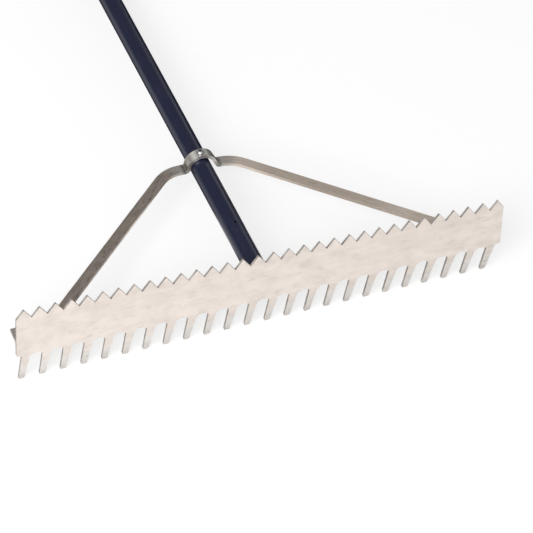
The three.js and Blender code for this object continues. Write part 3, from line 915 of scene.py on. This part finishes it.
def make_nut(name):
    """A lock nut with its nylon ring held in the collar."""
    bm = from_node(name)
    place = middle_of(bm)
    left, right = span(bm, X)
    lowest = span(bm, Z)[0]
    soften(finished(name + "_body", bm, [ZINC], [name]), "nut")
    inner = THREADS[NUTS[name]][0] + RING_GAP
    outer = (right - left) * RING_SHARE
    bottom, top = (lowest + height for height in RING_HEIGHTS)
    profile = [(inner, bottom, True), (outer, bottom, True), (outer, top, True), (inner, top, True)]
    ring = turned(profile, UP, RING_ROUND, RING_SEGMENTS, RING_STEPS)
    bmesh.ops.translate(ring, vec=(*place, 0), verts=ring.verts)
    finished(name + "_ring", ring, [NYLON])


make_head()
make_brace()
make_plain("handle_tube", "handle", NAVY_COAT, "tube")
make_plain("handle_core", "wooden_core", WOOD, "core")
make_plain("core_pin", "core_spring_pin", DARK_STEEL_AND_SOCKET_SHADE, "pin")
make_grip()
make_cap()
for bolt_name in THREADS:
    make_bolt(bolt_name)
for nut_name in NUTS:
    make_nut(nut_name)
for washer_name in WASHERS:
    make_plain(washer_name, washer_name + "_plate", ZINC, "washer")


# Floor, light and camera


def make_floor():
    """Pale floor that keeps the rake's soft shadow and shows white where nothing shades it.

    Reflections see it in zones: dim under and behind the head, bright before the saddle and to the left.
    """
    bm = bmesh.new()
    bmesh.ops.create_grid(bm, x_segments=1, y_segments=1, size=FLOOR_REACH)
    mesh = bpy.data.meshes.new("floor")
    bm.to_mesh(mesh)
    bm.free()
    floor = bpy.data.objects.new("floor", mesh)
    bpy.context.scene.collection.objects.link(floor)
    finish = Finish("pale floor", (FLOOR_TONE,) * 3, FLOOR_ROUGHNESS)
    finish.set("Specular IOR Level", 0)
    finish.set("Emission Color", (*WHITE, 1))
    parts = finish.parts(finish.place)
    x, y = parts["X"], parts["Y"]
    ray = finish.add("ShaderNodeLightPath").outputs

    front = finish.ramp(x, FRONT_X, *FRONT_GLOW)
    under = finish.ramp(x, UNDER_X, *UNDER_GLOW)
    glow = finish.ramp(y, UNDER_Y, under, front)
    glow = finish.ramp(y, HOLLOW_Y, glow, HOLLOW_GLOW)
    behind = finish.ramp(y, STRIP_START_Y, *STRIP_GLOW)
    behind = finish.ramp(y, STRIP_END_Y, behind, BEHIND_GLOW)
    behind = finish.ramp(x, RIGHT_X, behind, finish.ramp(y, RIGHT_END_Y, RIGHT_GLOW, BEHIND_GLOW))
    behind = finish.ramp(x, LEFT_X, behind, LEFT_GLOW)
    glow = finish.maths("MULTIPLY", ray["Is Glossy Ray"], finish.ramp(y, BEHIND_Y, glow, behind))
    seen = {"Factor": ray["Is Camera Ray"], "A": glow, "B": FLOOR_GLOW_SEEN}
    finish.set("Emission Strength", finish.add("ShaderNodeMix", seen).outputs["Result"])

    tone = finish.mix(ray["Is Camera Ray"], (FLOOR_TONE,) * 3, (FLOOR_TONE_SEEN,) * 3)
    shaded = finish.maths("MULTIPLY", ray["Is Glossy Ray"], finish.ramp(y, SHADED_Y, 0, 1))
    finish.set("Base Color", finish.mix(shaded, tone, BLACK))
    mesh.materials.append(finish.material)


def make_world():
    """Studio surroundings: bright before the head and to its left, dim behind it, white to the camera."""
    world = bpy.data.worlds.new("studio")
    bpy.context.scene.world = world
    sky = Tree(world)
    place = sky.add("ShaderNodeTexCoord").outputs["Generated"]
    toward = sky.add("ShaderNodeVectorMath", {0: place, 1: STUDIO_FRONT}, operation="DOT_PRODUCT")
    strength = sky.maths(
        "MULTIPLY",
        sky.ramp(toward.outputs["Value"], STUDIO_SIDES, *STUDIO_SIDE_STRENGTH),
        sky.ramp(sky.parts(place)["Z"], STUDIO_HEIGHTS, *STUDIO_HEIGHT_STRENGTH),
    )
    ray = sky.add("ShaderNodeLightPath").outputs
    background = sky.nodes["Background"].inputs
    sky.feed(background["Strength"], sky.maths("MAXIMUM", strength, ray["Is Camera Ray"]))
    sky.feed(background["Color"], (*WHITE, 1))


def make_lamp(name, place, target, size, power):
    """Square soft lamp that looks at a point."""
    light = bpy.data.lights.new(name, "AREA")
    light.shape = "SQUARE"
    light.size = size
    light.energy = power
    lamp = bpy.data.objects.new(name, light)
    bpy.context.scene.collection.objects.link(lamp)
    lamp.location = place
    lamp.rotation_euler = (Vector(target) - Vector(place)).to_track_quat("-Z", "Y").to_euler()


def make_camera():
    """Camera at the photograph's viewing angle."""
    forward = Vector(
        (
            math.sin(VIEW_AZIMUTH) * math.cos(VIEW_ELEVATION),
            math.cos(VIEW_AZIMUTH) * math.cos(VIEW_ELEVATION),
            -math.sin(VIEW_ELEVATION),
        )
    )
    data = bpy.data.cameras.new("camera")
    data.sensor_width = SENSOR
    data.sensor_height = SENSOR
    data.lens = FOCAL_LENGTH
    data.clip_end = VIEW_REACH
    camera = bpy.data.objects.new("camera", data)
    bpy.context.scene.collection.objects.link(camera)
    aim = forward.to_track_quat("-Z", "Y").to_matrix().to_4x4()
    roll = Matrix.Rotation(VIEW_ROLL, 4, "Z")
    camera.matrix_world = Matrix.Translation(VIEW_POINT - forward * VIEW_DISTANCE) @ aim @ roll
    bpy.context.scene.camera = camera


make_floor()
make_world()
for lamp_name, settings in LAMPS.items():
    make_lamp(lamp_name, *settings)
make_camera()
bpy.context.scene.view_settings.view_transform = "Standard"
